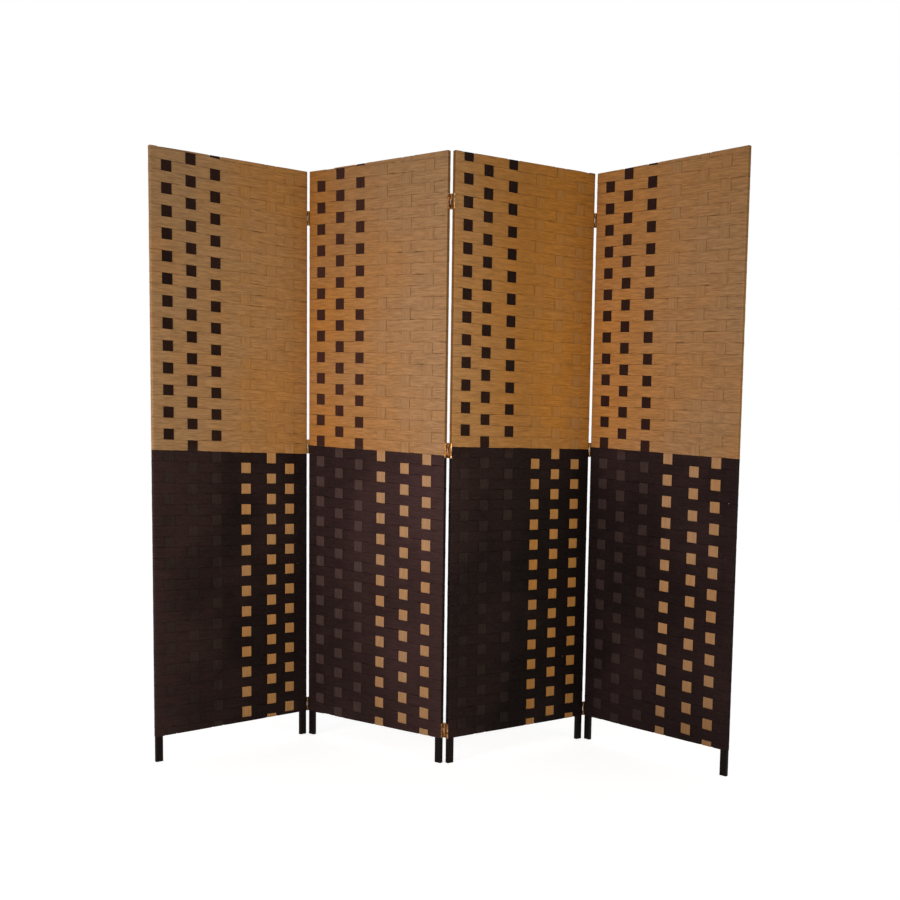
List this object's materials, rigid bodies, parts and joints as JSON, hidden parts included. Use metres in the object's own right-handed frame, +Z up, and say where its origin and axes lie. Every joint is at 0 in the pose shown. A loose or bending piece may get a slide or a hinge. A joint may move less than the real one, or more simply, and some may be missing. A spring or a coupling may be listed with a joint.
{
  "type": "folding privacy screen",
  "caption": "Tall folding screen of framed panels woven from flat paper-cord tape, joined edge to edge by two-way brass hinges so it stands in a zigzag or folds flat.",
  "frame": {"origin": "middle of the standing screen's footprint box, on the floor", "axes": "+Z up; -Y is the pictured side; +X runs along the row of panels to the right as pictured, from panel 1 to panel 4"},
  "size_m": [1.6064, 0.3954, 1.7],
  "materials": {
    "frame_wood": "dark stained, satin",
    "weft_tan": "twisted paper cord, matte",
    "weft_dark": "twisted paper cord, matte",
    "warp_dark": "twisted paper cord, matte",
    "warp_tan": "twisted paper cord, matte",
    "brass": "plated, worn satin"
  },
  "bodies": {
    "panel_1": {"stile_left_1": "frame_wood", "stile_right_1": "frame_wood", "rail_top_1": "frame_wood", "rail_middle_1": "frame_wood", "rail_bottom_1": "frame_wood", "weft_tan_1": "weft_tan", "weft_dark_1": "weft_dark", "warps_dark_1": "warp_dark", "warps_tan_1": "warp_tan", "hinge_leaves_left_12": "brass", "hinge_screws_left_12": "brass"},
    "panel_2": {"stile_left_2": "frame_wood", "stile_right_2": "frame_wood", "rail_top_2": "frame_wood", "rail_middle_2": "frame_wood", "rail_bottom_2": "frame_wood", "weft_tan_2": "weft_tan", "weft_dark_2": "weft_dark", "warps_dark_2": "warp_dark", "warps_tan_2": "warp_tan", "hinge_leaves_right_12": "brass", "hinge_screws_right_12": "brass", "hinge_leaves_left_23": "brass", "hinge_screws_left_23": "brass"},
    "panel_3": {"stile_left_3": "frame_wood", "stile_right_3": "frame_wood", "rail_top_3": "frame_wood", "rail_middle_3": "frame_wood", "rail_bottom_3": "frame_wood", "weft_tan_3": "weft_tan", "weft_dark_3": "weft_dark", "warps_dark_3": "warp_dark", "warps_tan_3": "warp_tan", "hinge_leaves_right_23": "brass", "hinge_screws_right_23": "brass", "hinge_leaves_left_34": "brass", "hinge_screws_left_34": "brass"},
    "panel_4": {"stile_left_4": "frame_wood", "stile_right_4": "frame_wood", "rail_top_4": "frame_wood", "rail_middle_4": "frame_wood", "rail_bottom_4": "frame_wood", "weft_tan_4": "weft_tan", "weft_dark_4": "weft_dark", "warps_dark_4": "warp_dark", "warps_tan_4": "warp_tan", "hinge_leaves_right_34": "brass", "hinge_screws_right_34": "brass"},
    "link_12": {"hinge_links_12": "brass", "hinge_pins_12": "brass"},
    "link_23": {"hinge_links_23": "brass", "hinge_pins_23": "brass"},
    "link_34": {"hinge_links_34": "brass", "hinge_pins_34": "brass"}
  },
  "joints": [
    {"name": "front_pins_12", "type": "hinge", "parent": "link_12", "child": "panel_1", "pos_m": [-0.40237, 0.1832, 0], "axis": [0, 0, 1], "range_deg": [-74, 106]},
    {"name": "back_pins_12", "type": "hinge", "parent": "panel_2", "child": "link_12", "pos_m": [-0.39331, 0.1959, 0], "axis": [0, 0, -1], "range_deg": [0, 180]},
    {"name": "back_pins_23", "type": "hinge", "parent": "panel_2", "child": "link_23", "pos_m": [0.017, -0.09677, 0], "axis": [0, 0, 1], "range_deg": [-68.5, 111.5]},
    {"name": "front_pins_23", "type": "hinge", "parent": "link_23", "child": "panel_3", "pos_m": [0.0255, -0.10985, 0], "axis": [0, 0, -1], "range_deg": [0, 150]},
    {"name": "front_pins_34", "type": "hinge", "parent": "panel_3", "child": "link_34", "pos_m": [0.44819, 0.16464, 0], "axis": [0, 0, -1], "range_deg": [-79.5, 100.5]},
    {"name": "back_pins_34", "type": "hinge", "parent": "link_34", "child": "panel_4", "pos_m": [0.4595, 0.17538, 0], "axis": [0, 0, 1], "range_deg": [0, 180]}
  ]
}
